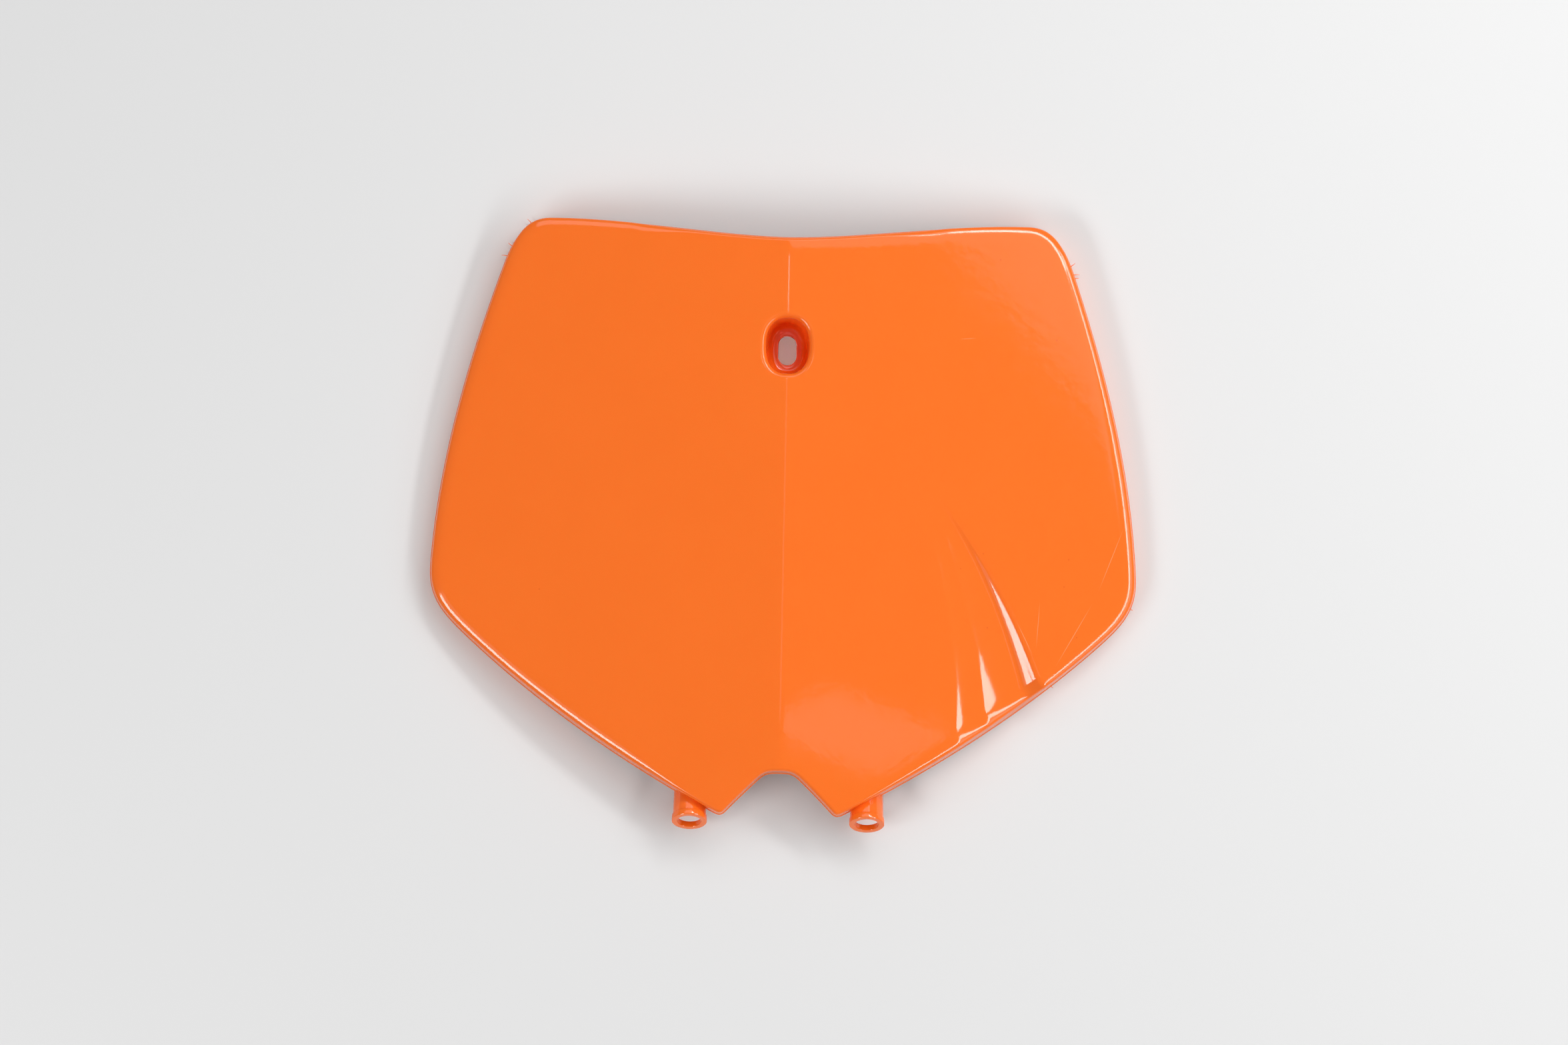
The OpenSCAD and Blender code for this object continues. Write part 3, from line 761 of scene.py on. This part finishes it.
# Scratches on the face: the two ends, x and y, and the width
SCRATCHES = [
    ((118.9, 103.0), (109.7, 79.3), 0.35),
    ((108.1, 76.0), (94.8, 52.8), 0.35),
    ((89.3, 76.2), (88.2, 59.1), 0.30),
    ((81.2, 68.7), (87.3, 56.8), 0.30),
    ((59.4, 166.3), (65.9, 166.9), 0.30),
]

# Specks of dust and small dents: x, y and radius
SPECKS = [
    (73.7, 194.7, 0.45),
    (93.9, 167.1, 0.5),
    (99.2, 90.6, 0.4),
    (69.2, 91.9, 0.35),
    (61.4, 86.6, 0.35),
    (71.2, 66.4, 0.4),
    (102.4, 63.6, 0.4),
    (97.7, 81.1, 0.35),
    (-84.3, 76.7, 0.35),
]


def spindle(nodes, links, where, middle, half_length, half_width, angle):
    """A mask that is 1 at its middle and falls to 0 at the ends and sides of a spindle."""
    frame_node = nodes.new("ShaderNodeMapping")
    frame_node.vector_type = "TEXTURE"
    frame_node.inputs["Location"].default_value = place((*middle, 0)).tolist()
    frame_node.inputs["Rotation"].default_value = (0, 0, angle)
    frame_node.inputs["Scale"].default_value = (half_length * MM, half_width * MM, 10)
    links.new(where, frame_node.inputs["Vector"])
    gradient = nodes.new("ShaderNodeTexGradient")
    gradient.gradient_type = "SPHERICAL"
    links.new(frame_node.outputs["Vector"], gradient.inputs["Vector"])
    return gradient.outputs["Fac"]


def total(nodes, links, sockets):
    first = sockets[0]
    for socket in sockets[1:]:
        node = nodes.new("ShaderNodeMath")
        node.operation = "ADD"
        links.new(first, node.inputs[0])
        links.new(socket, node.inputs[1])
        first = node.outputs["Value"]
    return first


def wear(nodes, links, where):
    """Masks of the scratches and of the specks."""
    lines = []
    for a, b, width in SCRATCHES:
        a, b = np.array(a), np.array(b)
        length = np.linalg.norm(b - a)
        angle = math.atan2(*(b - a)[::-1])
        lines.append(spindle(nodes, links, where, (a + b) / 2, length / 2, width / 2, angle))
    dots = [spindle(nodes, links, where, (x, y), r, r, 0) for x, y, r in SPECKS]
    return total(nodes, links, lines), total(nodes, links, dots)


ORANGE_DARK = (0.95, 0.165, 0.012, 1)
ORANGE_LIGHT = (1.0, 0.18, 0.016, 1)
SCRATCH_COLOUR = (1.0, 0.36, 0.16, 1)
SCRATCH_STRENGTH = 0.6
SPECK_COLOUR = (0.75, 0.10, 0.01, 1)
SPECK_STRENGTH = 0.5


def orange_plastic():
    """Glossy moulded plastic: faint flow mottle in the colour, fine orange peel, uneven gloss."""
    material, nodes, links = new_material("orange_plastic")
    output = nodes.new("ShaderNodeOutputMaterial")
    shader = nodes.new("ShaderNodeBsdfPrincipled")
    links.new(shader.outputs["BSDF"], output.inputs["Surface"])
    where = nodes.new("ShaderNodeTexCoord").outputs["Object"]

    mottle = ramp_node(nodes, links, noise_node(nodes, links, where, scale=45, detail=4),
                       low=0.35, high=0.65, to_min=0.4, to_max=0.6)
    colour = nodes.new("ShaderNodeMix")
    colour.data_type = "RGBA"
    colour.inputs["A"].default_value = ORANGE_DARK
    colour.inputs["B"].default_value = ORANGE_LIGHT
    links.new(mottle, colour.inputs["Factor"])
    scratches, specks = wear(nodes, links, where)
    scuffed = nodes.new("ShaderNodeMix")
    scuffed.data_type = "RGBA"
    scuffed.inputs["B"].default_value = SCRATCH_COLOUR
    links.new(ramp_node(nodes, links, scratches, 0, 0.6, 0, SCRATCH_STRENGTH), scuffed.inputs["Factor"])
    links.new(colour.outputs["Result"], scuffed.inputs["A"])
    spotted = nodes.new("ShaderNodeMix")
    spotted.data_type = "RGBA"
    spotted.inputs["B"].default_value = SPECK_COLOUR
    links.new(ramp_node(nodes, links, specks, 0, 0.6, 0, SPECK_STRENGTH), spotted.inputs["Factor"])
    links.new(scuffed.outputs["Result"], spotted.inputs["A"])
    links.new(spotted.outputs["Result"], shader.inputs["Base Color"])

    gloss = ramp_node(nodes, links, noise_node(nodes, links, where, scale=120, detail=5),
                      low=0.3, high=0.7, to_min=0.06, to_max=0.11)
    links.new(gloss, shader.inputs["Roughness"])
    shader.inputs["IOR"].default_value = 1.58
    shader.inputs["Subsurface Weight"].default_value = 0.15
    shader.inputs["Subsurface Radius"].default_value = (0.004, 0.0012, 0.0004)
    shader.inputs["Subsurface Scale"].default_value = 1.0

    bump = nodes.new("ShaderNodeBump")
    bump.inputs["Strength"].default_value = 0.08
    bump.inputs["Distance"].default_value = 0.0004
    links.new(noise_node(nodes, links, where, scale=260, detail=3), bump.inputs["Height"])
    links.new(bump.outputs["Normal"], shader.inputs["Normal"])
    return material


FLOOR_HALF = 6.0
FLOOR_COLOUR = (0.745, 0.745, 0.745, 1)


def stage():
    """A plain pale floor under the board."""
    mesh = bpy.data.meshes.new("floor")
    corners = [(x * FLOOR_HALF, y * FLOOR_HALF, 0) for x, y in ((-1, -1), (1, -1), (1, 1), (-1, 1))]
    mesh.from_pydata(corners, [], [(0, 1, 2, 3)])
    floor = bpy.data.objects.new("floor", mesh)
    bpy.context.collection.objects.link(floor)
    material, nodes, links = new_material("floor")
    output = nodes.new("ShaderNodeOutputMaterial")
    shader = nodes.new("ShaderNodeBsdfPrincipled")
    shader.inputs["Roughness"].default_value = 0.7
    shader.inputs["Specular IOR Level"].default_value = 0.1
    shader.inputs["Base Color"].default_value = FLOOR_COLOUR
    links.new(shader.outputs["BSDF"], output.inputs["Surface"])
    mesh.materials.append(material)


# Area lamps, which all face the board: name, azimuth and angle off the vertical in degrees,
# distance, width and height in metres, power in watts
LAMPS = [
    ("right_strip", -13, 50.5, 1.3, 2.0, 0.15, 8.6),
    ("right_panel", -5, 62, 1.3, 1.6, 0.24, 1.7),
    ("corner_strip", 50, 48, 1.3, 0.8, 0.16, 4.8),
    ("corner_panel", 50, 40, 1.5, 1.2, 0.85, 2.5),
    ("top_panel", 97, 48, 1.4, 1.3, 0.5, 2.8),
    ("left_strip", 215, 52, 1.3, 0.8, 0.24, 6.0),
    ("left_panel", 215, 47, 1.4, 0.9, 0.5, 0.9),
    ("foot_card", 318, 18.5, 1.3, 0.16, 0.22, 0.08),
    ("crease_card", 90, 15.2, 1.3, 0.10, 0.12, 0.14),
    ("crease_panel", 90, 0, 1.3, 0.12, 0.5, 0.10),
]

# Two small lamps under the board, for the light that the real one gets through the gap that
# it stands over. They shine on the floor under the slot.
UNDER_X = 30.0
UNDER_Z = 7.0
UNDER_SPREAD = 40
UNDER_RADIUS = 0.002
UNDER_POWER = 0.022
UNDER_COLOUR = (1.0, 0.85, 0.80)

WORLD_STRENGTH = 0.205


def hang(name, light, location, aim):
    """Puts a lamp at a place and turns it to shine along aim."""
    lamp = bpy.data.objects.new(name, light)
    bpy.context.collection.objects.link(lamp)
    lamp.location = location
    lamp.rotation_mode = "QUATERNION"
    lamp.rotation_quaternion = aim.to_track_quat("-Z", "Y")


def softbox(name, azimuth, off_vertical, distance, width, height, power):
    """An area lamp that faces the board from a direction round it."""
    light = bpy.data.lights.new(name, "AREA")
    light.shape = "RECTANGLE"
    light.size, light.size_y = width, height
    light.energy = power
    a, e = math.radians(azimuth), math.radians(off_vertical)
    location = distance * Vector((math.cos(a) * math.sin(e), math.sin(a) * math.sin(e), math.cos(e)))
    hang(name, light, location, -location.normalized())


def under_lamp(x):
    """A small lamp between the board and the floor, out of sight beside the cup."""
    light = bpy.data.lights.new("under", "SPOT")
    light.spot_size = math.radians(UNDER_SPREAD)
    light.shadow_soft_size = UNDER_RADIUS
    light.energy = UNDER_POWER
    light.color = UNDER_COLOUR
    hang("under", light, place((x, CUP_H, UNDER_Z)).tolist(), Vector((-x, 0, -UNDER_Z)).normalized())


def lights():
    for lamp in LAMPS:
        softbox(*lamp)
    for side in (-1, 1):
        under_lamp(side * UNDER_X)
    world = bpy.data.worlds.new("world")
    world.use_nodes = True
    background = world.node_tree.nodes["Background"]
    background.inputs["Color"].default_value = (1, 1, 1, 1)
    background.inputs["Strength"].default_value = WORLD_STRENGTH
    bpy.context.scene.world = world


# The camera looks down on the board from above its foot. The distances follow from the
# width of the board in the photograph, 1056 of its 2352 pixels, and from the lens.
SENSOR = 36.0
LENS = 60.0
PHOTO_W = 2352
BOARD_PX = 1056
LEAN = 3.0
ROLL = 1.15
AIM_Y = 0.875


def camera():
    distance = LENS / SENSOR * PHOTO_W * BOARD_W / BOARD_PX * MM
    data = bpy.data.cameras.new("camera")
    data.sensor_width = SENSOR
    data.lens = LENS
    data.clip_end = 20
    cam = bpy.data.objects.new("camera", data)
    bpy.context.collection.objects.link(cam)
    target = Vector((0, AIM_Y * MM, 0))
    lean = math.radians(LEAN)
    cam.location = target + distance * Vector((0, -math.sin(lean), math.cos(lean)))
    look = (target - cam.location).to_track_quat("-Z", "Y").to_matrix().to_4x4()
    turn = Matrix.Rotation(math.radians(ROLL), 4, "Z")
    cam.rotation_mode = "QUATERNION"
    cam.rotation_quaternion = (look @ turn).to_quaternion()
    bpy.context.scene.camera = cam


scene = bpy.context.scene
scene.view_settings.view_transform = "Standard"
camera()
number_board(orange_plastic())
stage()
lights()
